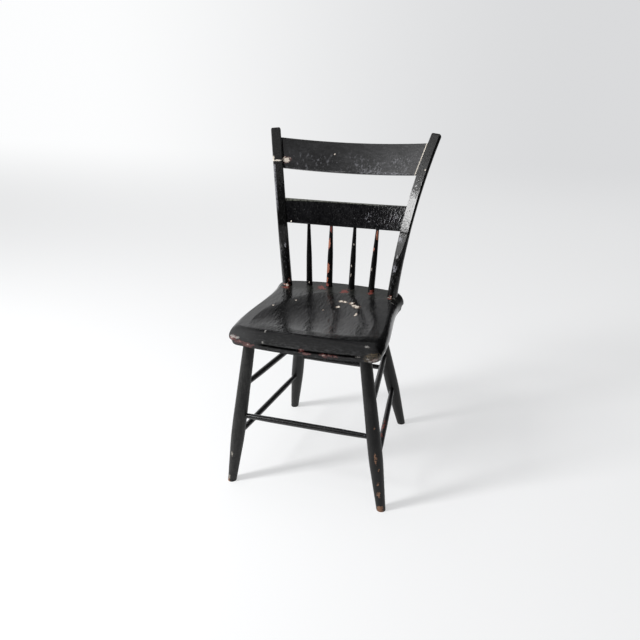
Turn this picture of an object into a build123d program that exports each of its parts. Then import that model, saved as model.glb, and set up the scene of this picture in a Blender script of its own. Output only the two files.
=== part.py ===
from build123d import *
import os
from math import asin, cos, degrees, radians, sin, sqrt, tan

# A plank seat chair: one thick plank carries four turned legs below it and two bent posts above it.
# Millimetres, +Z up, the sitter faces -Y. The origin is on the floor, under the middle of the chair.

# Seat plank, seen from above: a bowed back, a waist in front of the posts, full hips and a bowed front
seat_height = 440.0  # floor to the top of the plank
seat_thickness = 43.0
seat_depth = 365.0
seat_back_y = 135.55
seat_shift = -3.5  # the plank sits a little to the left of its legs and posts
seat_turn = 0.5  # and is a little askew, in degrees
seat_back_width = 364.0
seat_waist_width = 352.0
seat_hip_width = 386.0
seat_front_width = 378.0
seat_waist_from_back = 105.0
seat_hip_from_front = 78.0
seat_back_bow = 20.0
seat_front_bow = 14.0
seat_back_corner = 16.0
seat_front_corner = 24.0

# The plank's edge: a strip set back below, and a rolled edge that overhangs it and turns over to the top
strip_height = 14.5
strip_set_back = 3.0
strip_undercut = 3.0
roll_arris = 0.8  # how far the roll draws in again at its lower arris
roll_front = 34.0
roll_side = 24.0
roll_back = 2.0
roll_planed = 1.0  # taken off the crown of the roll, which leaves the top flat
roll_turns = (15, 35, 55, 72, 90)  # degrees round the roll at which its outline is drawn

# The hollow that is scooped out of the sitting surface: straight in front, rounded at the back
dish_depth = 10.0
dish_side_inset = 26.0
dish_from_back = 68.0
dish_back_bow = 138.0
dish_low_share = 0.5
dish_front_slope = 0.22
dish_back_slope = 0.05
dish_run_out = 0.3  # height above the plank at which the scoop ends at the sides
dish_shares = (-1, -0.8, -0.4, 0, 0.4, 0.8, 1)  # of the half width, where the scoop's cuts are drawn

# Turned legs
leg_foot_d = 22.6
leg_swell_d = 35.2
leg_top_d = 28.6
leg_swell_height = 150.0
leg_round_below = 45.0  # lengths over which the taper turns round the swell
leg_round_above = 60.0
leg_tenon_d = 23.0
leg_tenon_length = 24.0
front_leg_side_inset = 47.0
front_leg_edge_inset = 45.0
front_leg_splay = 8.1
front_leg_rake = 6.6
back_leg_side_inset = 81.0
back_leg_edge_inset = 53.0
back_leg_splay = 9.8
back_leg_rake = 11.4

# Stretchers, with the heights at which they enter the legs
stretcher_d = 15.0
stretcher_tenon_d = 13.0
stretcher_tenon_length = 23.0
stretcher_taper_length = 60.0
front_stretcher_height = 193.8
back_stretcher_height = 201.0
upper_side_heights = {"left": (276.0, 260.0), "right": (266.5, 250.5)}
lower_side_heights = {"left": (136.0, 131.0), "right": (122.0, 135.0)}

# Back posts: each is bent to one arc, in a plane that is turned and splayed outwards
post_d = 26.5
post_side_inset = 34.5
post_edge_inset = 49.0
post_turn = 20.0
post_splay = 2.8
post_lean = 8.1
post_bend_radius = 900.0
post_rise = 397.5
post_flat = 7.0
post_flat_start = 100.0
post_flat_runout = 55.0
post_end_round = 6.0
post_tenon_d = 19.0
post_tenon_length = 28.0

# Bent slats between the posts, with their heights above the seat at the posts
slat_thickness = 10.5
slat_set_back = 2.5
slat_edge_round = 2.6
slat_end_gap = 1.5
crest_rise = 340.0
crest_height = 82.5
crest_bow = 24.0
mid_rise = 198.5
mid_height = 65.5
mid_bow = 14.0

# Tapered spindles between the seat and the middle slat
spindle_base_d = 17.2
spindle_top_d = 8.6
spindle_swell = 1.0
spindle_edge_inset = 27.5
spindle_row_shift = -1.8  # the row stands a little to the left of the middle
spindle_tenon_d = 12.0
spindle_tenon_length = 20.0
spindle_tip_d = 5.6
spindle_tip_length = 9.0
spindle_base_spread = {"inner": 31.4, "outer": 87.4}
spindle_top_spread = {"inner": 32.6, "outer": 95.0}

# Pegs that lock the slats in the posts
peg_d = 4.6
peg_inset = 6.0
peg_proud = 0.6

glue_line = 0.1  # gap all round each glued joint
socket_room = 0.6  # free depth past the end of each tenon

SIDES = {"left": -1, "right": 1}

seat_top = seat_height
seat_bottom = seat_height - seat_thickness
seat_front_y = seat_back_y - seat_depth
underside = Plane.XY.offset(seat_bottom)
seat_surface = Plane.XY.offset(seat_top)


def seat_back_edge(x):
    """Y of the seat's back edge at a distance from the middle."""
    return seat_back_y - seat_back_bow * (2 * x / seat_back_width) ** 2


def bore(centre, direction, diameter, length):
    """A round cutter from a centre along a direction."""
    with BuildPart() as cutter:
        with BuildSketch(Plane(origin=centre, z_dir=direction)):
            Circle(diameter / 2)
        extrude(amount=length)
    return cutter.part


# Legs: each axis runs from its socket in the plank out and down to the floor
def leg_axis(side, end):
    """The point where a leg meets the seat's underside, and its direction upwards."""
    if end == "front":
        x = seat_hip_width / 2 - front_leg_side_inset
        y = seat_front_y + front_leg_edge_inset
        slope = Vector(-tan(radians(front_leg_splay)) * side, tan(radians(front_leg_rake)), 1)
    else:
        x = seat_back_width / 2 - back_leg_side_inset
        y = seat_back_y - back_leg_edge_inset
        slope = Vector(-tan(radians(back_leg_splay)) * side, -tan(radians(back_leg_rake)), 1)
    return Vector(x * side, y, seat_bottom), slope


def leg_point(side, end, height):
    """The point on a leg's axis at a height above the floor."""
    socket, slope = leg_axis(side, end)
    return socket + slope * (height - seat_bottom)


def stretcher_ends(name):
    """The leg points that each stretcher joins, with the leg ends they belong to."""
    if name == "front":
        return [("left", "front", front_stretcher_height), ("right", "front", front_stretcher_height)]
    if name == "back":
        return [("left", "back", back_stretcher_height), ("right", "back", back_stretcher_height)]
    side, level = name.split("_")
    heights = upper_side_heights[side] if level == "upper" else lower_side_heights[side]
    return [(side, "front", heights[0]), (side, "back", heights[1])]


STRETCHERS = ["front", "back", "left_upper", "left_lower", "right_upper", "right_lower"]


def stretcher_line(name):
    """Both ends of a stretcher, each on its leg's axis."""
    return [leg_point(SIDES[side], end, height) for side, end, height in stretcher_ends(name)]


def make_leg(side_name, end):
    """A turned leg with a tenon for the plank, a flat foot and a bore for each stretcher."""
    side = SIDES[side_name]
    socket, slope = leg_axis(side, end)
    up = slope.normalized()
    foot = leg_point(side, end, 0)
    length = (socket - foot).length
    spare = leg_swell_d
    across = Plane(origin=foot, z_dir=up).x_dir
    foot_r = leg_foot_d / 2
    swell_r = leg_swell_d / 2
    top_r = leg_top_d / 2
    swell_at = leg_swell_height / up.Z
    low_slope = (swell_r - foot_r) / (swell_at - leg_round_below / 2)
    high_slope = (swell_r - top_r) / (length - swell_at - leg_round_above / 2)
    low_end = (swell_r - low_slope * leg_round_below / 2, swell_at - leg_round_below)
    high_end = (swell_r - high_slope * leg_round_above / 2, swell_at + leg_round_above)
    with BuildPart() as leg:
        with BuildSketch(Plane(origin=foot, x_dir=across, z_dir=across.cross(up))):
            with BuildLine():
                Polyline((0, -spare), (foot_r, -spare), (foot_r, 0), low_end)
                TangentArc(low_end, (swell_r, swell_at), tangent=(low_slope, 1))
                TangentArc((swell_r, swell_at), high_end, tangent=(0, 1))
                Polyline(high_end, (top_r, length), (top_r, length + spare), (0, length + spare), (0, -spare))
            make_face()
        revolve(axis=Axis(foot, up))
        split(bisect_by=Plane.XY, keep=Keep.TOP)
        split(bisect_by=underside, keep=Keep.BOTTOM)
        with BuildSketch(Plane(origin=socket - up * leg_tenon_d, z_dir=up)):
            Circle(leg_tenon_d / 2)
        extrude(amount=leg_tenon_d + leg_tenon_length)
        for name in STRETCHERS:
            here, there = stretcher_line(name)
            for index, (stop_side, stop_end, _) in enumerate(stretcher_ends(name)):
                if (stop_side, stop_end) == (side_name, end):
                    start, far = (here, there) if index == 0 else (there, here)
                    along = (far - start).normalized()
                    mouth = start - along * socket_room
                    socket_d = stretcher_tenon_d + 2 * glue_line
                    add(bore(mouth, along, socket_d, leg_swell_d), mode=Mode.SUBTRACT)
    return leg.part


def make_stretcher(name):
    """A turned rail that tapers at each end to the tenon that sits in its leg."""
    start, stop = stretcher_line(name)
    along = (stop - start).normalized()
    length = (stop - start).length
    across = Plane(origin=start, z_dir=along).x_dir
    end_r = stretcher_tenon_d / 2
    taper_end = stretcher_tenon_length + stretcher_taper_length
    with BuildPart() as rail:
        with BuildSketch(Plane(origin=start, x_dir=across, z_dir=across.cross(along))):
            with BuildLine():
                Polyline(
                    (0, 0),
                    (end_r, 0),
                    (end_r, stretcher_tenon_length),
                    (stretcher_d / 2, taper_end),
                    (stretcher_d / 2, length - taper_end),
                    (end_r, length - stretcher_tenon_length),
                    (end_r, length),
                    (0, length),
                    close=True,
                )
            make_face()
        revolve(axis=Axis(start, along))
    return rail.part


# Posts: one arc each, in a plane through the post's foot
def post_frame(side):
    """The plane that a post is bent in: local x runs backwards, local y runs up."""
    foot = Vector(
        (seat_back_width / 2 - post_side_inset) * side,
        seat_back_y - post_edge_inset,
        seat_top,
    )
    backwards = Vector(sin(radians(post_turn)) * side, cos(radians(post_turn)), 0)
    outwards = Vector(cos(radians(post_turn)) * side, -sin(radians(post_turn)), 0)
    up = Vector(0, 0, cos(radians(post_splay))) + outwards * sin(radians(post_splay))
    return Plane(origin=foot, x_dir=backwards, z_dir=backwards.cross(up))


def post_angle(rise):
    """How far a post leans, in degrees, at a height above the seat."""
    return degrees(asin(sin(radians(post_lean)) + rise / post_bend_radius))


def post_local(angle, forward=0.0):
    """A point of a post in its own plane, at a lean and a distance in front of its middle line."""
    reach = post_bend_radius + forward
    across = post_bend_radius * cos(radians(post_lean)) - reach * cos(radians(angle))
    up = reach * sin(radians(angle)) - post_bend_radius * sin(radians(post_lean))
    return across, up


def post_point(side, rise, forward=0.0):
    """A point of a post in the chair's frame, at a height above the seat."""
    return post_frame(side).from_local_coords(Vector(*post_local(post_angle(rise), forward), 0))


def post_along(side, rise):
    """The direction that a post runs in, upwards, at a height above the seat."""
    frame = post_frame(side)
    angle = radians(post_angle(rise))
    return frame.x_dir * sin(angle) + frame.y_dir * cos(angle)


# Slats: boards bent backwards, square to the lean that the posts have at their height
def slat_frame(rise):
    """The plane across a slat at half its height: local x runs sideways, local y backwards."""
    along = post_along(1, rise)
    end = post_point(1, rise, -slat_set_back)
    return Plane(origin=(0, end.Y, end.Z), x_dir=(1, 0, 0), z_dir=(0, along.Y, along.Z))


def slat_bend(rise, bow):
    """The radius that gives a slat its bow between the posts."""
    half = post_point(1, rise, -slat_set_back).X
    return (half**2 + bow**2) / (2 * bow)


def make_slat(rise, height, bow, room=0.0, end_gap=slat_end_gap):
    """A bent board whose ends stop short of the posts' middle planes."""
    radius = slat_bend(rise, bow)
    half = post_point(1, rise).X + height
    half_turn = degrees(asin(half / radius))
    centre = (0, bow - radius)
    with BuildPart() as slat:
        with BuildSketch(slat_frame(rise)):
            with BuildLine():
                rear = CenterArc(centre, radius + slat_thickness / 2 + room, 90 - half_turn, 2 * half_turn)
                front = CenterArc(centre, radius - slat_thickness / 2 - room, 90 - half_turn, 2 * half_turn)
                Line(rear @ 0, front @ 0)
                Line(rear @ 1, front @ 1)
            make_face()
        extrude(amount=height / 2 + room, both=True)
        if room == 0:
            long_edges = slat.edges().filter_by(GeomType.CIRCLE)
            fillet(long_edges, slat_edge_round)
        for side in SIDES.values():
            frame = post_frame(side)
            outwards = frame.z_dir * side
            split(bisect_by=Plane(origin=frame.origin - outwards * end_gap, z_dir=outwards), keep=Keep.BOTTOM)
    return slat.part


def peg_line(side, rise):
    """The middle of a peg, on the inner side of a post, and its direction backwards."""
    frame = post_frame(side)
    angle = radians(post_angle(rise))
    backwards = frame.x_dir * cos(angle) - frame.y_dir * sin(angle)
    return post_point(side, rise) - frame.z_dir * side * peg_inset, backwards


def make_peg(side, rise, room=0.0):
    """A round peg from the back of a post through the end of a slat."""
    middle, backwards = peg_line(side, rise)
    back_reach = sqrt((post_d / 2) ** 2 - peg_inset**2) + peg_proud
    front_reach = post_flat - peg_d / 2
    start = middle - backwards * (front_reach + room)
    return bore(start, backwards, peg_d + 2 * room, front_reach + back_reach + room)


SLATS = {
    "crest": (crest_rise, crest_height, crest_bow),
    "mid": (mid_rise, mid_height, mid_bow),
}


def make_post(side):
    """A bent round post, shaved flat in front, with a tenon below and a mortise for each slat."""
    frame = post_frame(side)
    radius = post_d / 2
    low = post_angle(-post_d)
    top = post_angle(post_rise)
    flat_low = post_angle(post_flat_start)
    flat_full = post_angle(post_flat_start + post_flat_runout)
    beyond = post_angle(post_rise + post_d)
    with BuildPart() as post:
        with BuildLine(frame) as path:
            middle = post_local((low + top) / 2)
            ThreePointArc(post_local(low), middle, post_local(top))
        with BuildSketch(Plane(origin=path.line @ 0, z_dir=path.line % 0)):
            Circle(radius)
        sweep()
        split(bisect_by=seat_surface, keep=Keep.TOP)
        with BuildSketch(frame):
            with BuildLine():
                Line(post_local(flat_low, radius), post_local(flat_full, post_flat))
                ThreePointArc(
                    post_local(flat_full, post_flat),
                    post_local((flat_full + beyond) / 2, post_flat),
                    post_local(beyond, post_flat),
                )
                Line(post_local(beyond, post_flat), post_local(beyond, post_d))
                ThreePointArc(
                    post_local(beyond, post_d),
                    post_local((flat_low + beyond) / 2, post_d),
                    post_local(flat_low, post_d),
                )
                Line(post_local(flat_low, post_d), post_local(flat_low, radius))
            make_face()
        extrude(amount=post_d, both=True, mode=Mode.SUBTRACT)
        fillet(post.faces().sort_by(Axis.Z)[-1].edges(), post_end_round)
        foot_up = post_along(side, 0)
        add(bore(frame.origin + foot_up * radius, -foot_up, post_tenon_d, radius + post_tenon_length))
        for rise, height, bow in SLATS.values():
            mortise = make_slat(rise, height, bow, glue_line, slat_end_gap - socket_room)
            add(mortise, mode=Mode.SUBTRACT)
            add(make_peg(side, rise, glue_line), mode=Mode.SUBTRACT)
    return post.part


# Spindles: from the back of the seat to the lower edge of the middle slat
def spindle_line(side, row):
    """The foot of a spindle on the seat and its top on the middle slat's lower edge."""
    base_x = spindle_base_spread[row] * side + spindle_row_shift
    foot = Vector(base_x, seat_back_edge(base_x) - spindle_edge_inset, seat_top)
    radius = slat_bend(mid_rise, mid_bow)
    top_x = spindle_top_spread[row] * side + spindle_row_shift
    top_y = mid_bow - radius + sqrt(radius**2 - top_x**2)
    top = slat_frame(mid_rise).from_local_coords(Vector(top_x, top_y, -mid_height / 2))
    return foot, top


SPINDLES = [("left", "outer"), ("left", "inner"), ("right", "inner"), ("right", "outer")]


def make_spindle(side, row):
    """A tapered spindle with a tenon in the seat and a thin tip in the slat."""
    foot, top = spindle_line(side, row)
    up = (top - foot).normalized()
    length = (top - foot).length
    across = Plane(origin=foot, z_dir=up).x_dir
    base_r = spindle_base_d / 2
    top_r = spindle_top_d / 2
    lower_edge = Plane(origin=top, z_dir=slat_frame(mid_rise).z_dir)
    with BuildPart() as spindle:
        with BuildSketch(Plane(origin=foot, x_dir=across, z_dir=across.cross(up))):
            with BuildLine():
                Polyline(
                    (0, -base_r),
                    (base_r, -base_r),
                    (base_r, 0),
                    ((base_r + top_r) / 2 + spindle_swell, length / 2),
                    (top_r, length),
                    (top_r, length + base_r),
                    (0, length + base_r),
                    close=True,
                )
            make_face()
        revolve(axis=Axis(foot, up))
        split(bisect_by=seat_surface, keep=Keep.TOP)
        split(bisect_by=lower_edge, keep=Keep.BOTTOM)
        add(bore(foot + up * base_r, -up, spindle_tenon_d, base_r + spindle_tenon_length))
        add(bore(top - up * base_r, up, spindle_tip_d, base_r + spindle_tip_length))
    return spindle.part


# Seat plank: a strip set back below, a rolled edge above it and a scooped hollow on top
def seat_outline(level, side_in=0.0, front_in=0.0, back_in=0.0):
    """The plank's outline at a height, drawn in by a distance at the sides, the front and the back."""
    back_x = seat_back_width / 2 - side_in
    waist = (seat_waist_width / 2 - side_in, seat_back_y - seat_waist_from_back)
    hip = (seat_hip_width / 2 - side_in, seat_front_y + seat_hip_from_front)
    front_x = seat_front_width / 2 - side_in
    back_y = seat_back_y - back_in
    front_y = seat_front_y + front_in
    back_corner_y = back_y - seat_back_bow
    front_corner_y = front_y + seat_front_bow
    askew = (cos(radians(seat_turn)), sin(radians(seat_turn)), 0)
    with BuildSketch(Plane((seat_shift, 0, level), x_dir=askew)) as outline:
        with BuildLine():
            ThreePointArc((-back_x, back_corner_y), (0, back_y), (back_x, back_corner_y))
            Spline((back_x, back_corner_y), waist, hip, (front_x, front_corner_y))
            ThreePointArc((front_x, front_corner_y), (0, front_y), (-front_x, front_corner_y))
            Spline(
                (-front_x, front_corner_y),
                (-hip[0], hip[1]),
                (-waist[0], waist[1]),
                (-back_x, back_corner_y),
            )
        make_face()
        fillet(outline.vertices().sort_by(Axis.Y)[:2], seat_front_corner)
        fillet(outline.vertices().sort_by(Axis.Y)[-2:], seat_back_corner)
    return outline.sketch


strip_top = seat_bottom + strip_height
roll_rise = seat_top + roll_planed - strip_top

with BuildPart() as strip:
    strip_foot = strip_set_back + strip_undercut
    add(seat_outline(seat_bottom, strip_foot, strip_foot, strip_foot))
    add(seat_outline(strip_top, strip_set_back, strip_set_back, strip_set_back))
    loft(ruled=True)

# The rolled edge swells out above its lower arris, then turns over towards the sitting surface
with BuildPart() as rolled_edge:
    add(seat_outline(strip_top, roll_arris, roll_arris, roll_arris))
    for turn in roll_turns:
        inwards = 1 - cos(radians(turn))
        level = strip_top + roll_rise * sin(radians(turn))
        add(seat_outline(level, roll_side * inwards, roll_front * inwards, roll_back * inwards))
    loft()
    split(bisect_by=seat_surface, keep=Keep.BOTTOM)

# The scoop: cuts from front to back, deepest in the middle and running out at the sides
with BuildPart() as hollow:
    dish_half = seat_waist_width / 2 - dish_side_inset
    dish_front_y = seat_front_y + roll_front
    cut_top = seat_top + dish_depth
    for share in dish_shares:
        back_y = seat_back_y - dish_from_back - dish_back_bow * share**2
        low_y = dish_front_y + (back_y - dish_front_y) * dish_low_share
        edge_z = seat_top + dish_run_out * share**2
        fullness = 1 - share**2
        low_z = edge_z - dish_depth * fullness
        slopes = [(1, -dish_front_slope * fullness), (1, dish_back_slope * fullness)]
        with BuildSketch(Plane.YZ.offset(seat_shift + dish_half * share)):
            with BuildLine():
                Spline((dish_front_y, edge_z), (low_y, low_z), (back_y, edge_z), tangents=slopes)
                Polyline((back_y, edge_z), (back_y, cut_top), (dish_front_y, cut_top), (dish_front_y, edge_z))
            make_face()
    loft()

with BuildPart() as seat_plank:
    add(strip.part)
    add(rolled_edge.part)
    add(hollow.part, mode=Mode.SUBTRACT)
    for side in SIDES.values():
        for end in ("front", "back"):
            socket, slope = leg_axis(side, end)
            up = slope.normalized()
            mouth = socket - up * leg_tenon_d
            depth = leg_tenon_d + leg_tenon_length + socket_room
            add(bore(mouth, up, leg_tenon_d + 2 * glue_line, depth), mode=Mode.SUBTRACT)
        foot_up = post_along(side, 0)
        mouth = post_frame(side).origin + foot_up * post_tenon_d
        depth = post_tenon_d + post_tenon_length + socket_room
        add(bore(mouth, -foot_up, post_tenon_d + 2 * glue_line, depth), mode=Mode.SUBTRACT)
    for side_name, row in SPINDLES:
        foot, top = spindle_line(SIDES[side_name], row)
        up = (top - foot).normalized()
        mouth = foot + up * spindle_tenon_d
        depth = spindle_tenon_d + spindle_tenon_length + socket_room
        add(bore(mouth, -up, spindle_tenon_d + 2 * glue_line, depth), mode=Mode.SUBTRACT)

with BuildPart() as crest_slat:
    add(make_slat(*SLATS["crest"]))
    for side in SIDES.values():
        add(make_peg(side, crest_rise, glue_line), mode=Mode.SUBTRACT)

with BuildPart() as mid_slat:
    add(make_slat(*SLATS["mid"]))
    for side in SIDES.values():
        add(make_peg(side, mid_rise, glue_line), mode=Mode.SUBTRACT)
    for side_name, row in SPINDLES:
        foot, top = spindle_line(SIDES[side_name], row)
        up = (top - foot).normalized()
        mouth = top - up * spindle_tip_d
        depth = spindle_tip_d + spindle_tip_length + socket_room
        add(bore(mouth, up, spindle_tip_d + 2 * glue_line, depth), mode=Mode.SUBTRACT)

with BuildPart() as slat_pegs:
    for side in SIDES.values():
        for rise, height, bow in SLATS.values():
            add(make_peg(side, rise))

pieces = {
    "seat_plank": seat_plank.part,
    "crest_slat": crest_slat.part,
    "mid_slat": mid_slat.part,
    "slat_pegs": slat_pegs.part,
}
for side_name, side in SIDES.items():
    pieces["post_" + side_name] = make_post(side)
    for end in ("front", "back"):
        pieces["leg_" + end + "_" + side_name] = make_leg(side_name, end)
for name in STRETCHERS:
    pieces["stretcher_" + name] = make_stretcher(name)
for side_name, row in SPINDLES:
    pieces["spindle_" + row + "_" + side_name] = make_spindle(SIDES[side_name], row)

os.makedirs("parts", exist_ok=True)
for name, piece in pieces.items():
    piece.label = name
    export_step(piece, "parts/" + name + ".step")
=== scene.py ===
from collections import namedtuple
from math import radians

import bpy
from mathutils import Matrix, Vector


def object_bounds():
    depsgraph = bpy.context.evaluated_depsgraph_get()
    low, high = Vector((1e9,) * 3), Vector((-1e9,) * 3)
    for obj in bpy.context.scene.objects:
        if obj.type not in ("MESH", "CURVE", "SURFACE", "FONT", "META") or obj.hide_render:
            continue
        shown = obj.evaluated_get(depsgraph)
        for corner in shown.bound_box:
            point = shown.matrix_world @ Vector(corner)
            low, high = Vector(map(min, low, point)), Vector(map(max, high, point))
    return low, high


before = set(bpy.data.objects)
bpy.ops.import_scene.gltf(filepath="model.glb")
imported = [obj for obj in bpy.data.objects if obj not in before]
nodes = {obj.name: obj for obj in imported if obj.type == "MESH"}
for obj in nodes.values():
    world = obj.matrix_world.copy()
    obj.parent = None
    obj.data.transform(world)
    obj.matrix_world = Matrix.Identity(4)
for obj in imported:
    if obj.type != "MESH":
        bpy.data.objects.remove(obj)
cad_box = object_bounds()

# Seat plank: one thick softwood board, sawn to a waisted outline, rolled at the front and scooped by hand.
# It has a red-brown ground coat under glossy black paint, which has gone lumpy and crackled with age.
# Sitting has chipped it to the pale wood, legs have rubbed the roll dull and the strip below it red. A
# broken black line under the roll's lip is painted shade.
mm = 0.001
edge_width = 2.2 * mm
seat_tones = (0.002, 0.002, 0.0022, 1), (0.016, 0.016, 0.0162, 1)
roll_grey = (0.003, 0.003, 0.0033, 1)
# Grey for scratches on the roll, and for a painted sheen over its left end.
roll_scratch_and_sheen = (0.034, 0.034, 0.035, 1)
# Black for dark joints and cracks, and for painted shade in the shadow line under the seat's roll.
gap_and_shadow_black = (0.0015, 0.0015, 0.0015, 1)
ledge_dull = (0.009, 0.01, 0.008, 1)
ledge_dust = (0.06, 0.064, 0.05, 1)
strip_red = (0.085, 0.026, 0.024, 1)
strip_pink = (0.22, 0.13, 0.12, 1)
ground_red = (0.17, 0.038, 0.028, 1)
wood_brown = (0.2, 0.105, 0.062, 1)
wood_pale = (0.72, 0.66, 0.57, 1)
dust_grey = (0.16, 0.16, 0.15, 1)
scratch_grey = (0.5, 0.48, 0.45, 1)
corner_yellow = (0.2, 0.15, 0.09, 1)

# Stretches in metres over which the seat's finish and its painted shadow line change. Where there are two,
# it comes and goes again.
ledge_rise = (0.03, 0.09)
brow_drop = (0.162, 0.212)
brow_width = (-0.16, -0.06)
roll_turn = (0.2, 0.212)
roll_upper = (0.42, 0.432)
left_hip = (-0.16, -0.08)
left_roll_turn = (0.18, 0.216)
# Where the painted shadow line lies: under the roll's overhanging lip, where the strip is in shade.
shadow_line_front = (0.19, 0.2)
shadow_line_width = (-0.115, -0.09), (0.13, 0.15)
shadow_line_height = (0.4075, 0.4095), (0.4155, 0.417)

# Marks, each with its place on the chair and its reach along X, Y and Z, in millimetres.
seat_chips = [
    ((26, 22, 437), (10, 7, 9)),
    ((37, 20, 437), (8, 6, 9)),
    ((57, 14, 437), (8, 8, 9)),
    ((66, 2, 437), (9, 7, 9)),
    ((76, -5, 437), (12, 9, 9)),
    ((27, -9, 436), (7, 7, 9)),
    ((84, -46, 436), (4, 11, 9)),
    ((-89, -6, 438), (3.5, 4, 9)),
    ((-134, -55, 439), (3.5, 4, 9)),
    ((-6, -33, 435), (3, 4, 9)),
    ((144, 72, 440), (7, 3, 4)),
]
seat_scratches = [
    ((-95, -202, 439), (3, 7, 9)),
    ((-94, -225, 420), (3, 4, 4)),
    ((155, -205, 434), (7, 4, 4)),
    ((137, -218, 413), (9, 6, 3)),
    ((159, -213, 407), (5, 6, 4)),
    ((164, -211, 400), (6, 6, 5)),
    ((174, -206, 404), (8, 9, 6)),
    ((158, 71, 440), (9, 3, 4)),
    ((162, 43, 439), (11, 4, 6)),
    ((176, 30, 437), (4, 9, 6)),
    ((-174, -216, 421), (12, 9, 5)),
    ((-162, -219, 421), (8, 6, 4)),
]
crackled_corner = ((168, -206, 410), (34, 26, 22))
foot_rubs = [
    ((-52, 92, 440), (13, 20, 8)),
    ((-40, 86, 440), (7, 9, 8)),
    ((18, 82, 440), (15, 22, 8)),
    ((87, 88, 440), (11, 12, 8)),
    ((-146, 67, 440), (19, 10, 8)),
    ((145, 66, 440), (9, 6, 8)),
]
strip_rubs = [
    ((-174, -216, 416), (17, 13, 10)),
    ((-160, -219, 409), (20, 10, 10)),
    ((-137, -219, 406), (24, 10, 10)),
    ((4, -227, 415), (9, 9, 6)),
    ((14, -224, 406), (18, 9, 7)),
    ((57, -223, 408), (14, 9, 9)),
    ((71, -222, 409), (10, 9, 8)),
    ((85, -221, 408), (9, 9, 7)),
    ((174, -208, 404), (13, 14, 7)),
]

# A layer over the paint, worn marks and painted light alike: where it shows, its colour, its roughness and
# how deep it lies, in millimetres.
Layer = namedtuple("Layer", "where tone roughness depth")


class Wire:
    """A socket in a material's nodes. Arithmetic on wires adds the Math nodes that do it."""

    def __init__(self, tree, socket=None):
        self.tree = tree
        self.socket = socket

    def node(self, kind, settings, sockets, output=0):
        """Adds a node: its settings, then the values or wires of its sockets. Gives one of its outputs."""
        made = self.tree.nodes.new("ShaderNode" + kind)
        for name, value in settings.items():
            setattr(made, name, value)
        inputs = [socket for socket in made.inputs if socket.enabled]
        named = {socket.name: socket for socket in inputs}
        for key, value in sockets.items():
            socket = named[key] if isinstance(key, str) else inputs[key]
            if isinstance(value, Wire):
                self.tree.links.new(value.socket, socket)
            else:
                socket.default_value = value
        outputs = [socket for socket in made.outputs if socket.enabled]
        if isinstance(output, str):
            outputs = [socket for socket in outputs if socket.name == output]
            output = 0
        return Wire(self.tree, outputs[output]) if outputs else None

    def math(self, operation, first, second):
        return self.node("Math", {"operation": operation}, {0: first, 1: second})

    def __add__(self, other):
        return self.math("ADD", self, other)

    __radd__ = __add__

    def __sub__(self, other):
        return self.math("SUBTRACT", self, other)

    def __rsub__(self, other):
        return self.math("SUBTRACT", other, self)

    def __mul__(self, other):
        return self.math("MULTIPLY", self, other)

    def __truediv__(self, other):
        return self.math("DIVIDE", self, other)

    def most(self, other):
        """The larger of two values."""
        return self.math("MAXIMUM", self, other)

    def fade(self, low, high):
        """0 below low, 1 above high and smooth between them."""
        limits = {"From Min": low, "From Max": high}
        return self.node("MapRange", {"interpolation_type": "SMOOTHSTEP"}, {"Value": self, **limits})

    def band(self, rise, fall):
        """1 between two stretches, with a smooth rise over the first and a smooth fall over the second."""
        return self.fade(*rise) * (1 - self.fade(*fall))

    def tint(self, without, with_it):
        """A colour that goes from one to another as this value goes from 0 to 1."""
        return self.node("Mix", {"data_type": "RGBA"}, {"Factor": self, "A": without, "B": with_it})

    def vector(self, operation, other, output=0):
        return self.node("VectorMath", {"operation": operation}, {0: self, 1: other}, output)

    def part(self, axis):
        """The X, Y or Z of a vector."""
        return self.node("SeparateXYZ", {}, {0: self}, axis)

    def length(self):
        """How long a vector is."""
        return self.node("VectorMath", {"operation": "LENGTH"}, {0: self}, "Value")

    def normal(self):
        """The direction that the surface faces."""
        return self.node("NewGeometry", {}, {}, "Normal")

    def stretched(self, shares):
        """A place whose marks come out longer along the axes with small shares."""
        return self.vector("MULTIPLY", shares)

    def noise(self, scale, detail=4.0, roughness=0.55):
        """Uneven clouds around 0.5, with this many lumps to the metre."""
        sockets = {"Vector": self, "Scale": scale, "Detail": detail, "Roughness": roughness}
        return self.node("TexNoise", {}, sockets)

    def spot(self, centre, reach):
        """1 at a place on the chair, falling to 0 at a reach from it, both in millimetres."""
        away = self.vector("SUBTRACT", [c * mm for c in centre])
        return 1 - away.vector("DIVIDE", [r * mm for r in reach]).length()

    def spots(self, places):
        """The nearest of several spots."""
        field = self.spot(*places[0])
        for place in places[1:]:
            field = field.most(self.spot(*place))
        return field

    def ragged(self, clouds, depth):
        """A spot whose outline follows a noise."""
        return self + (clouds - 0.5) * depth


def worn_edges(place, width):
    """0 on open faces, rising towards 1 on the corners of a piece."""
    rounded = place.node("Bevel", {"samples": 6}, {"Radius": width})
    return 1 - rounded.vector("DOT_PRODUCT", place.normal(), "Value")


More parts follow.
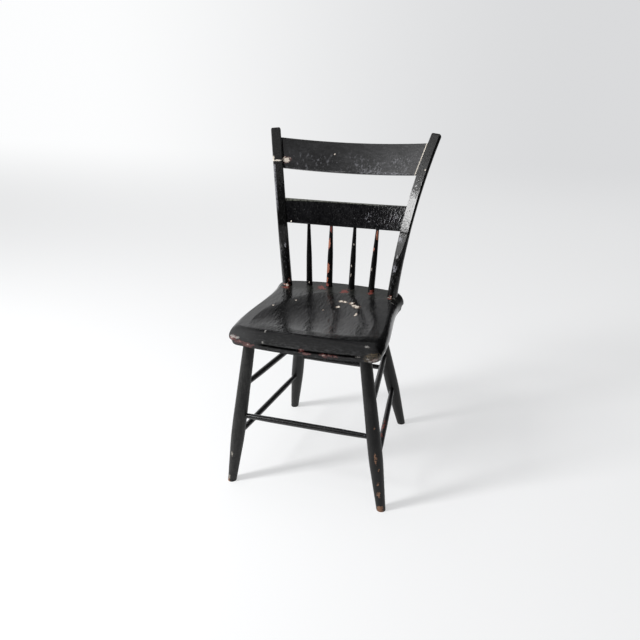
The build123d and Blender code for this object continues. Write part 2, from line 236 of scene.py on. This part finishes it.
def black_paint(name, tones, wear_and_light, grain, shine, lumps, wrinkles, dust, gloss=0.5):
    """Old black paint over red-brown ground over wood. Its dark joints and cracks and its painted shadow
    lines are a black metal, so they mirror nothing.

    tones are the paint where it is sound and where it has gone grey, and wear_and_light(place, flakes)
    lists the layers on top, worn marks and painted light alike. grain stretches the marks along the piece
    and shine is the roughness of sound paint.
    lumps and wrinkles are how deep it is uneven, coarsely and finely, in millimetres, and dust is how much
    lies in its pits.
    """
    material = bpy.data.materials.new(name)
    material.use_nodes = True
    material.node_tree.nodes.clear()
    sheet = Wire(material.node_tree)
    place = sheet.node("TexCoord", {}, {}, "Object")
    along = place.stretched(grain)
    clouds = place.noise(16.0, 3.0)
    streaks = along.noise(170.0, 6.0, 0.65)
    flakes = place.noise(210.0, 5.0, 0.62)
    grit = place.noise(900.0, 2.0)

    faded = (streaks * 0.6 + clouds * 0.5 + flakes * 0.5 - 0.3).fade(0.38, 0.72)
    specks = place.noise(300.0, 3.0, 0.7).fade(0.55, 0.78)
    colour = (specks * dust).tint(faded.tint(*tones), dust_grey)
    roughness = shine + (streaks - 0.5) * 0.12 + (clouds - 0.5) * 0.08
    drift = place.node("TexNoise", {}, {"Vector": place, "Scale": 120.0}, "Color")
    cells = {"Vector": place.vector("ADD", drift.vector("MULTIPLY", (5 * mm,) * 3)), "Scale": 150.0}
    cracks = sheet.node("TexVoronoi", {"feature": "DISTANCE_TO_EDGE"}, cells).fade(0.0, 0.2)
    coarse = along.noise(140.0, 1.0) + cracks * 0.15
    fine = streaks + flakes * 0.6
    height = coarse * lumps + fine * wrinkles + grit * 0.015
    # Dark joints, cracks and painted shadow lines collect here and turn the paint to a black metal.
    gaps_and_shadow = 0.0
    for layer in wear_and_light(place, flakes):
        if layer.tone == gap_and_shadow_black:
            gaps_and_shadow = layer.where.most(gaps_and_shadow)
        colour = layer.where.tint(colour, layer.tone)
        roughness = roughness + layer.where * (layer.roughness - roughness)
        height = height - layer.where * layer.depth
    bump = sheet.node("Bump", {}, {"Strength": 1.0, "Distance": mm, "Height": height})
    surface = sheet.node("BsdfPrincipled", {}, {
        "Base Color": colour,
        "Roughness": roughness,
        "Metallic": gaps_and_shadow,
        "Specular IOR Level": gloss,
        "Normal": bump,
    })
    sheet.node("OutputMaterial", {}, {"Surface": surface})
    return material


def dress(names, material):
    """Gives the named pieces their finish."""
    for name in names:
        for slot in nodes[name].material_slots:
            slot.material = material


def seat_wear_and_shade(place, flakes):
    across = place.part("X")
    forward = 0 - place.part("Y")
    up = place.part("Z")
    grains = place.noise(480.0, 3.0, 0.6)
    edges = worn_edges(place, edge_width)
    ledge = place.part("Y").fade(*ledge_rise)
    brow = forward.fade(*brow_drop) * across.fade(*brow_width)
    at_left = 1 - across.fade(*left_hip)
    roll = forward.fade(*roll_turn).most(forward.fade(*left_roll_turn) * at_left)
    brushed = place.stretched((0.3, 1, 1)).noise(300.0, 4.0, 0.7).fade(0.42, 0.72)
    dulled = (1 - up.fade(*roll_upper)).most(at_left)
    # Grey scratches, denser low on the roll; its left end takes them evenly at half strength as a painted
    # sheen from the window side.
    rubbed = (brushed * (0.3 + dulled * 0.7)).most(at_left * 0.5)
    # The painted shadow line under the roll's lip, broken by the flakes noise.
    shadow_line = forward.fade(*shadow_line_front) * across.band(*shadow_line_width) * up.band(*shadow_line_height) * flakes.fade(0.3, 0.45)
    feet = place.spots(foot_rubs).ragged(flakes, 2.6).fade(0.36, 0.5)
    strip = place.spots(strip_rubs).ragged(flakes, 2.6) + edges * 0.5
    corner = (place.spot(*crackled_corner).fade(0.0, 0.4) * grains).fade(0.46, 0.6)
    scratches = place.spots(seat_scratches).ragged(grains, 2.4).fade(0.2, 0.5)
    chips = place.spots(seat_chips).ragged(flakes, 1.6).ragged(grains, 2.2)
    return [
        Layer(ledge * 0.75, ledge_dull, 0.5, 0.0),
        Layer(ledge * flakes.fade(0.5, 0.72) * 0.6, ledge_dust, 0.6, 0.0),
        Layer(brow, seat_tones[0], 0.12, 5.0),
        Layer(roll, roll_grey, 0.8, 0.0),
        Layer(roll * rubbed, roll_scratch_and_sheen, 0.7, 0.0),
        # Painted shade: black under the roll's lip.
        Layer(shadow_line, gap_and_shadow_black, 0.9, 0.0),
        Layer(feet, ground_red, 0.5, 0.08),
        Layer(strip.fade(0.22, 0.42), strip_red, 0.5, 0.1),
        Layer(strip.fade(0.75, 0.95), strip_pink, 0.6, 0.1),
        Layer(strip.fade(1.05, 1.2) * 0.8, wood_pale, 0.6, 0.1),
        Layer(corner * 0.7, corner_yellow, 0.6, 0.1),
        Layer(scratches * 0.45, scratch_grey, 0.6, 0.1),
        Layer(chips.fade(0.2, 0.34) * 0.8, wood_brown, 0.55, 0.08),
        Layer(chips.fade(0.4, 0.5), wood_pale, 0.6, 0.15),
    ]


dress(["seat_plank"], black_paint(
    "seat_paint", seat_tones, seat_wear_and_shade,
    grain=(1, 0.3, 1), shine=0.08, lumps=0.45, wrinkles=0.05, dust=0.34,
))

# Legs: four turned sticks of hardwood, swelled below the middle, with tenons glued into the plank.
# Their paint is black, and dragging has rubbed the feet to brown wood.
# The front left one has a lighter, duller copy of the paint: painted light from the window side.
leg_tones = (0.003, 0.003, 0.003, 1), (0.0125, 0.0122, 0.012, 1)
# Lighter tones for the front left leg, as painted light from the window side.
window_lit_leg_tones = (0.008, 0.008, 0.0078, 1), (0.03, 0.0296, 0.0284, 1)
leg_flecks = [
    ((198, -238, 50), (8, 9, 16)),
    ((195, -236, 78), (5, 9, 9)),
    ((186, -232, 150), (7, 9, 22)),
    ((179, -220, 226), (4, 8, 10)),
    ((195, -232, 118), (3, 8, 5)),
]
leg_pale = [
    ((-179, -207, 269), (4, 6, 6)),
    ((-194, -236, 86), (4, 6, 14)),
    ((-206, -239, 14), (5, 8, 10)),
]
foot_scuffs = [
    ((202, -241, 5), (15, 12, 18)),
    ((-207, -238, 3), (7, 10, 9)),
    ((176, 170, 2), (14, 14, 5)),
]


def leg_wear(place, flakes):
    specks = place.noise(340.0, 3.0, 0.7).fade(0.64, 0.74)
    pale = place.spots(leg_pale).ragged(flakes, 2.4).fade(0.35, 0.6)
    flecks = place.spots(leg_flecks).ragged(flakes, 3.0).fade(0.5, 0.62)
    dragged = place.spots(foot_scuffs).ragged(flakes, 2.0).fade(0.35, 0.5)
    return [
        Layer(specks * 0.2, dust_grey, 0.5, 0.0),
        Layer(pale * 0.3, wood_pale, 0.6, 0.05),
        Layer(flecks, wood_brown, 0.5, 0.08),
        Layer(dragged, wood_brown, 0.6, 0.1),
    ]


# The front left leg takes the lighter tones as painted light.
window_lit_leg = "leg_front_left"
legs = [name for name in nodes if name.startswith("leg_") and name != window_lit_leg]
leg_finish = {"grain": (1, 1, 0.15), "lumps": 0.06, "wrinkles": 0.05, "dust": 0.08, "gloss": 0.3}
dress(legs, black_paint("leg_paint", leg_tones, leg_wear, shine=0.45, **leg_finish))
dress([window_lit_leg], black_paint("window_lit_leg_paint", window_lit_leg_tones, leg_wear, shine=0.5, **leg_finish))

# Stretchers: six thin turned rails, tapered to tenons that are glued into bores in the legs.
# Heels have rubbed the right lower rail to the red ground coat.
rail_tones = (0.0055, 0.0055, 0.0055, 1), (0.016, 0.016, 0.0155, 1)
# Bluish grey for painted glints on the rails' upward faces.
rail_glint_blue = (0.3, 0.31, 0.36, 1)
rail_rubs = [
    ((167, -63, 135), (8, 45, 8)),
    ((171, -110, 132), (8, 25, 8)),
]


def rail_wear_and_glints(place, flakes):
    # Painted glints: pale specks where the rails face upwards.
    specks = place.noise(420.0, 2.0).fade(0.6, 0.7) * place.normal().part("Z").fade(0.2, 0.7)
    rubbed = place.spots(rail_rubs).ragged(flakes, 3.4).fade(0.55, 0.7)
    return [
        Layer(specks * 0.35, rail_glint_blue, 0.4, 0.0),
        Layer(rubbed, ground_red, 0.5, 0.06),
    ]


cross_rails = ["stretcher_front", "stretcher_back"]
side_rails = [name for name in nodes if name.startswith("stretcher_") and name not in cross_rails]
dress(cross_rails, black_paint(
    "cross_rail_paint", rail_tones, rail_wear_and_glints,
    grain=(0.15, 1, 1), shine=0.18, lumps=0.08, wrinkles=0.05, dust=0.12,
))
dress(side_rails, black_paint(
    "side_rail_paint", rail_tones, rail_wear_and_glints,
    grain=(1, 0.15, 1), shine=0.36, lumps=0.08, wrinkles=0.05, dust=0.08,
))

# Posts: two bent round sticks, shaved flat in front from above the seat to the top.
# The paint is thick and glossy, cracked to the wood at the crest's lower edge and chipped round the feet.
# Painted window highlights on the posts: a pale line up the left post's left edge, streaks below the middle
# slat, two patches on the right post.
post_tones = (0.0025, 0.0025, 0.0025, 1), (0.011, 0.011, 0.011, 1)
# Pale grey for real scuffs, and for painted highlights and sheen.
scuff_and_sheen_grey = (0.3, 0.3, 0.33, 1)
below_mid_slat = (0.53, 0.56), (0.592, 0.606)
post_upper = (0.68, 0.71)
# Where the painted streaky highlights below the middle slat end.
post_glints_end = (0.585, 0.602)
# The painted highlight line up the left post's left edge: its slope and foot, width and heights.
left_highlight_line = (-0.2091, -47.5)
left_highlight_width = 3.6
left_highlight_height = (0.63, 0.66), (0.748, 0.754)
right_side = (0.0, 0.01)
right_crack_height = (0.6035, 0.605), (0.607, 0.6085)
post_cracks = [
    ((-199, 178, 760.5), (20, 20, 3.2)),
    ((-210, 178, 765), (5, 10, 11)),
    ((204, 173, 757), (2, 3, 4)),
]
post_feet = [
    ((-146, 73, 444), (16, 14, 9)),
    ((-139, 80, 457), (7, 8, 9)),
    ((144, 72, 443), (7, 6, 4)),
]
# Two painted sheen patches on the right post and a real fleck on the left one.
post_sheen_and_flecks = [
    ((151, 87, 514), (9, 10, 24)),
    ((158, 110, 588), (10, 10, 14)),
    ((-153, 96, 549), (4, 6, 14)),
]


def joint_line(place, joint, width):
    """1 along a line up a piece, such as a joint: its slope, and its foot and width in millimetres."""
    slope, foot = joint
    off = place.part("X") - place.part("Z") * slope - foot * mm
    return 1 - (off.most(0 - off) * (1 / (width * mm))).fade(0.4, 1.0)


def post_wear_and_highlights(place, flakes):
    up = place.part("Z")
    in_front = (0 - place.normal().part("Y")).fade(0.0, 0.3)
    crackle = place.stretched((1, 1, 0.35)).noise(320.0, 4.0, 0.7)
    dulled = (crackle + (up.band(*below_mid_slat) * 1.8 + up.fade(*post_upper)) * 0.16).fade(0.57, 0.66)
    # Painted highlights: pale streaks on the fronts below the middle slat.
    stroked = place.stretched((1, 1, 0.25)).noise(260.0, 4.0, 0.7).fade(0.56, 0.74)
    strokes = stroked * (1 - up.fade(*post_glints_end)) * in_front
    # Painted sheen on the right post, and a real fleck on the left one.
    sheen_and_flecks = place.spots(post_sheen_and_flecks).ragged(crackle, 3.0).fade(0.45, 0.75)
    # Painted highlight line up the left post's left edge.
    highlight_line = joint_line(place, left_highlight_line, left_highlight_width) * flakes.fade(0.35, 0.55)
    painted_highlight = highlight_line * up.band(*left_highlight_height) * in_front
    crack = place.part("X").fade(*right_side) * up.band(*right_crack_height)
    feet = place.spots(post_feet).ragged(flakes, 2.6)
    cracks = place.spots(post_cracks).ragged(flakes, 1.2).fade(0.3, 0.42)
    return [
        Layer(dulled * 0.8, post_tones[0], 0.6, 0.0),
        # Painted highlights, then the sheen patches and the highlight line.
        Layer(strokes * 0.4, scuff_and_sheen_grey, 0.5, 0.0),
        Layer(sheen_and_flecks * 0.7, scuff_and_sheen_grey, 0.5, 0.0),
        Layer(painted_highlight * 0.7, scuff_and_sheen_grey, 0.5, 0.0),
        Layer(crack * 0.6, gap_and_shadow_black, 0.9, 0.0),
        Layer(feet.fade(0.38, 0.5), ground_red, 0.5, 0.1),
        Layer(feet.fade(0.7, 0.8), wood_pale, 0.6, 0.1),
        Layer(cracks * 0.8, wood_pale, 0.6, 0.1),
    ]


posts = [name for name in nodes if name.startswith("post_")]
dress(posts, black_paint(
    "post_paint", post_tones, post_wear_and_highlights,
    grain=(1, 1, 0.25), shine=0.12, lumps=0.4, wrinkles=0.12, dust=0.12,
))

# Slats: two thin boards, steamed and bent, let into mortises in the posts and pegged from behind.
# Backs have rubbed the crest to a mottled grey, and the glossy middle one is scuffed at its right end. The
# grey over the crest's right half and the middle one's right end is also a painted sheen of the light they
# mirror.
crest_tones = (0.004, 0.004, 0.0044, 1), (0.018, 0.018, 0.0195, 1)
mid_tones = (0.0022, 0.0022, 0.0026, 1), (0.009, 0.009, 0.0098, 1)
rim_green = (0.1, 0.105, 0.08, 1)
crest_blotches_end = (0.762, 0.79)
crest_lower_edge = (0.738, 0.745)
crest_right_half = (0.0, 0.07)
mid_rim = (0.661, 0.6645)
mid_right_half = (0.04, 0.13)
left_joint = (-0.2409, -0.6)
left_joint_width = 2.2
right_joint = (0.2916, -39.15)
right_joint_width = 1.3
# Scuffs on the middle slat's right end and the crest's right half, which also carry a painted sheen.
slat_scuffs_and_sheen = [
    ((70, 132, 636), (34, 20, 34)),
    ((110, 130, 634), (40, 20, 38)),
    ((145, 135, 640), (34, 20, 36)),
    ((60, 195, 745), (120, 40, 26)),
    ((130, 200, 770), (80, 40, 50)),
]
slat_bare = [
    ((-177, 187, 761), (20, 16, 12)),
    ((-48, 214, 776), (3, 8, 3)),
    ((-145, 123, 611), (4, 5, 4)),
]


def scuffs_and_sheen(place):
    """Short strokes up and down a slat, sparse all over it and dense where backs have scuffed it and a
    sheen is painted, towards the right.
    """
    strokes = place.stretched((1, 1, 0.2)).noise(270.0, 5.0, 0.7)
    return (place.spots(slat_scuffs_and_sheen).most(-0.1) * 0.45).ragged(strokes, 3.0).fade(0.4, 0.95)


def dusty_top(place):
    """The upper edge of a slat, where dust lies."""
    return place.normal().part("Z").fade(0.5, 0.8)


def crest_wear_and_sheen(place, flakes):
    up = place.part("Z")
    mottled = place.stretched((1, 1, 0.6)).noise(120.0, 3.0, 0.6).fade(0.55, 0.7)
    blotches = mottled * (1 - up.fade(*crest_blotches_end))
    at_right = place.part("X").fade(*crest_right_half)
    lower_edge = (1 - up.fade(*crest_lower_edge)) * at_right * flakes.fade(0.45, 0.65)
    open_joint = joint_line(place, right_joint, right_joint_width) * flakes.fade(0.3, 0.5)
    bare = place.spots(slat_bare).ragged(flakes, 1.8)
    return [
        # Scuffs, with a painted sheen over the crest's right half.
        Layer(scuffs_and_sheen(place) * 0.4, scuff_and_sheen_grey, 0.5, 0.0),
        Layer(blotches * 0.22, scuff_and_sheen_grey, 0.5, 0.0),
        Layer(lower_edge * 0.6, scuff_and_sheen_grey, 0.5, 0.0),
        Layer(dusty_top(place) * 0.2, dust_grey, 0.7, 0.0),
        Layer(joint_line(place, left_joint, left_joint_width), gap_and_shadow_black, 0.9, 0.0),
        Layer(open_joint, wood_pale, 0.6, 0.0),
        Layer(bare.fade(0.3, 0.42) * 0.4, ground_red, 0.5, 0.08),
        Layer(bare.fade(0.4, 0.6) * 0.75, wood_pale, 0.6, 0.08),
    ]


def mid_wear_and_glare(place, flakes):
    at_left = 1 - place.part("X").fade(*mid_right_half)
    rim = place.part("Z").fade(*mid_rim) * at_left * flakes.fade(0.35, 0.55)
    bare = place.spots(slat_bare).ragged(flakes, 1.8)
    return [
        Layer(rim, rim_green, 0.6, 0.0),
        # Scuffs, with a painted glare at the right end.
        Layer(scuffs_and_sheen(place), scuff_and_sheen_grey, 0.5, 0.0),
        Layer(dusty_top(place) * 0.6, dust_grey, 0.7, 0.0),
        Layer(bare.fade(0.4, 0.55), wood_pale, 0.6, 0.08),
    ]


dress(["crest_slat"], black_paint(
    "crest_paint", crest_tones, crest_wear_and_sheen,
    grain=(0.3, 1, 1), shine=0.3, lumps=0.12, wrinkles=0.1, dust=0.15,
))
dress(["mid_slat"], black_paint(
    "mid_slat_paint", mid_tones, mid_wear_and_glare,
    grain=(1, 1, 0.3), shine=0.12, lumps=0.3, wrinkles=0.1, dust=0.25,
))

# Spindles: four thin turned sticks that taper upwards, glued into the plank and the middle slat.
# Hands have flaked the inner left one in long patches to the orange wood, and the others in places.
spindle_tones = (0.002, 0.002, 0.002, 1), (0.006, 0.0059, 0.0057, 1)
wood_orange = (0.29, 0.105, 0.058, 1)
spindle_flakes = [
    ((-38, 122, 558), (7, 9, 28)),
    ((-38, 109, 492), (8, 9, 30)),
    ((-40, 103, 460), (8, 9, 15)),
    ((95, 126, 590), (6, 8, 22)),
    ((87, 118, 553), (4, 6, 8)),
]
spindle_rubs = [
    ((-32, 131, 596), (6, 8, 18)),
    ((90, 96, 441), (12, 10, 8)),
    ((-37, 102, 446), (10, 8, 8)),
]
spindle_flecks = [
    ((32, 123, 560), (2.5, 4, 10)),
    ((28, 111, 503), (3, 4, 7)),
    ((28, 107, 480), (2.5, 4, 11)),
    ((-88, 97, 450), (3, 4, 5)),
    ((85, 108, 500), (2.5, 4, 12)),
]


def spindle_wear(place, flakes):
    rubbed = place.spots(spindle_rubs).ragged(flakes, 2.0).fade(0.36, 0.46)
    flecks = place.spots(spindle_flecks).ragged(flakes, 3.0).fade(0.5, 0.7)
    flaked = place.spots(spindle_flakes).ragged(flakes, 1.2)
    return [
        Layer(rubbed, ground_red, 0.5, 0.06),
        Layer(flecks * 0.4, wood_pale, 0.6, 0.06),
        Layer(flaked.fade(0.3, 0.38), ground_red, 0.5, 0.06),
        Layer(flaked.fade(0.4, 0.48), wood_orange, 0.5, 0.08),
    ]


spindles = [name for name in nodes if name.startswith("spindle_")]
dress(spindles, black_paint(
    "spindle_paint", spindle_tones, spindle_wear,
    grain=(1, 1, 0.2), shine=0.12, lumps=0.14, wrinkles=0.05, dust=0.05,
))

# Pegs: four short round wooden pins, driven from behind through the posts and the slats' ends.
# They were painted with the chair, and their proud ends are rubbed.


def peg_wear(place, flakes):
    edges = worn_edges(place, edge_width)
    return [Layer((flakes + edges * 0.9).fade(0.7, 0.85), ground_red, 0.5, 0.05)]


dress(["slat_pegs"], black_paint(
    "peg_paint", leg_tones, peg_wear,
    grain=(1, 1, 1), shine=0.35, lumps=0.06, wrinkles=0.05, dust=0.1,
))

# Floor: a seamless sheet of white paper, wide enough to reach the horizon.
# It takes the chair's soft shadow, and far behind the chair a painted shade greys it towards the right.
# Its lit part shows as white in the gloss of the paint; towards the front and the right the gloss sees it
# painted dark grey, as paper in shade.
floor_reach = 60.0
floor_white = (0.91, 0.915, 0.92, 1)
glow_white = (0.98, 0.985, 0.99, 1)
glow_grey = (0.7, 0.705, 0.715, 1)
unlit_grey = (0.03, 0.03, 0.03, 1)
glow_near = 0.53
far_behind = (1.0, 4.0)
far_around = (3.0, 8.0)
unlit_front = (1.2, 2.0)
unlit_right = (1.0, 2.0)
shade_foot = (0.49, -1.54)
shade_slopes = (-0.75, 0.05)
shade_sector = (0.2, 0.6)

floor_mesh = bpy.data.meshes.new("floor")
corners = [(-1, -1), (1, -1), (1, 1), (-1, 1)]
floor_mesh.from_pydata([(x * floor_reach, y * floor_reach, 0) for x, y in corners], [], [(0, 1, 2, 3)])
floor = bpy.data.objects.new("floor", floor_mesh)
bpy.context.scene.collection.objects.link(floor)
floor_paper = bpy.data.materials.new("floor_paper")
floor_paper.use_nodes = True
floor_paper.node_tree.nodes.clear()
sheet = Wire(floor_paper.node_tree)
by_camera = sheet.node("LightPath", {}, {}, "Is Camera Ray")
by_gloss = sheet.node("LightPath", {}, {}, "Is Glossy Ray")
by_glass = sheet.node("LightPath", {}, {}, "Is Transmission Ray")
seen = by_camera.most(by_gloss).most(by_glass)
ground = sheet.node("TexCoord", {}, {}, "Object")
across = ground.part("X")
deep = ground.part("Y")
away = ground.length()
far = deep.fade(*far_behind).most(away.fade(*far_around) * by_camera)
fan = ((across - shade_foot[0]) / (deep - shade_foot[1])).fade(*shade_slopes)
shade = far * fan * (deep / away).fade(*shade_sector)
# Painted shade for the gloss: the paper shows dark grey towards the front and the right.
unlit = (0 - deep).fade(*unlit_front).most(across.fade(*unlit_right))
paper = sheet.node("BsdfDiffuse", {}, {"Color": floor_white})
glow = sheet.node("Emission", {}, {"Color": shade.tint(glow_white, glow_grey), "Strength": 1.0})
lit = sheet.node("MixShader", {}, {0: seen * (glow_near + far * (1 - glow_near)), 1: paper, 2: glow})
dark = sheet.node("Emission", {}, {"Color": unlit_grey, "Strength": 1.0})
floor_surface = sheet.node("MixShader", {}, {0: by_gloss * unlit, 1: lit, 2: dark})
sheet.node("OutputMaterial", {}, {"Surface": floor_surface})
floor_mesh.materials.append(floor_paper)

# Light: a dim room with white paper behind the chair, a window to the left and soft light overhead.
# The glossy paint mirrors the paper, the pale walls and ceiling and the window.
# Daylight and the light overhead fall on the chair and the floor without showing in the gloss.
paper_white = (0.95, 0.955, 0.965, 1)
room_dim = (0.03, 0.03, 0.032, 1)

world = bpy.data.worlds.new("room")
bpy.context.scene.world = world
world.use_nodes = True
world.node_tree.nodes.clear()
sheet = Wire(world.node_tree)
direction = sheet.node("TexCoord", {}, {}, "Generated")
right = direction.part("X")
left = 0 - right
behind = direction.part("Y")
before = 0 - behind
rise = direction.part("Z")
paper_left = left.fade(0.22, 0.42)
paper_sheet = behind.fade(-0.1, 0.15) * (1 - rise.fade(0.57, 0.65)) * left.fade(-0.25, 0.0)
paper_glow = 0.5 + paper_left * 0.6 - (1 - paper_left) * rise.fade(0.25, 0.5) * 0.28
ceiling = rise.fade(0.88, 0.97) * 0.45
front_ceiling = before.fade(0.0, 0.3) * rise.fade(0.62, 0.84) * 0.75
left_front = before.fade(-0.1, 0.2) * left.fade(0.05, 0.5) * rise.fade(0.45, 0.7)
left_back = behind.fade(-0.1, 0.2) * left.fade(0.32, 0.48) * 0.45
left_wall = left.fade(0.55, 0.8) * 0.6
room_glow = paper_sheet * paper_glow
for pale in (ceiling, front_ceiling, left_front, left_back, left_wall):
    room_glow = room_glow.most(pale)
room = room_glow.tint(room_dim, paper_white)
# Painted shade on the backdrop seen by the camera, greying it towards the right as on the floor.
wall_shade = (right / behind).fade(*shade_slopes) * behind.fade(*shade_sector)
wall = wall_shade.tint(glow_white, glow_grey)
seen = sheet.node("LightPath", {}, {}, "Is Camera Ray")
backdrop = sheet.node("Background", {}, {"Color": seen.tint(room, wall), "Strength": 1.0})
sheet.node("OutputWorld", {}, {"Surface": backdrop})


def softbox(name, place, aim, size, power, mirrored):
    """A soft light that faces a point. Either the paint only mirrors it, or it only lights things."""
    lamp = bpy.data.lights.new(name, "AREA")
    lamp.shape = "RECTANGLE"
    lamp.size, lamp.size_y = size
    lamp.energy = power
    stand = bpy.data.objects.new(name, lamp)
    stand.visible_glossy = mirrored
    stand.visible_diffuse = not mirrored
    stand.location = place
    stand.rotation_euler = (Vector(aim) - Vector(place)).to_track_quat("-Z", "Y").to_euler()
    bpy.context.scene.collection.objects.link(stand)


middle = (cad_box[0] + cad_box[1]) / 2
softbox("window", (-1.93, -1.74, 1.93), middle, size=(1.4, 0.95), power=66.0, mirrored=True)
softbox("daylight", (-2.18, -1.58, 2.1), middle, size=(0.5, 1.8), power=112.0, mirrored=False)
softbox("overhead", (-0.4, 0.3, 3.2), middle, size=(2.6, 2.6), power=12.0, mirrored=False)

# Camera: stands in front of the chair, at the right as seen from there, and higher than its back.
# It looks down through a slightly wide lens, with the photograph's angle and slight roll.
camera_place = (0.494388, -1.539094, 1.143819)
camera_turn = 18.673
camera_drop = 24.994
camera_roll = -1.105
film_width = 36.0
lens_length = 38.25

camera_data = bpy.data.cameras.new("camera")
camera_data.sensor_width = film_width
camera_data.lens = lens_length
camera = bpy.data.objects.new("camera", camera_data)
camera.matrix_world = (
    Matrix.Translation(camera_place)
    @ Matrix.Rotation(radians(camera_turn), 4, "Z")
    @ Matrix.Rotation(radians(90 - camera_drop), 4, "X")
    @ Matrix.Rotation(radians(camera_roll), 4, "Z")
)
bpy.context.scene.collection.objects.link(camera)
bpy.context.scene.camera = camera
bpy.context.scene.view_settings.view_transform = "Standard"
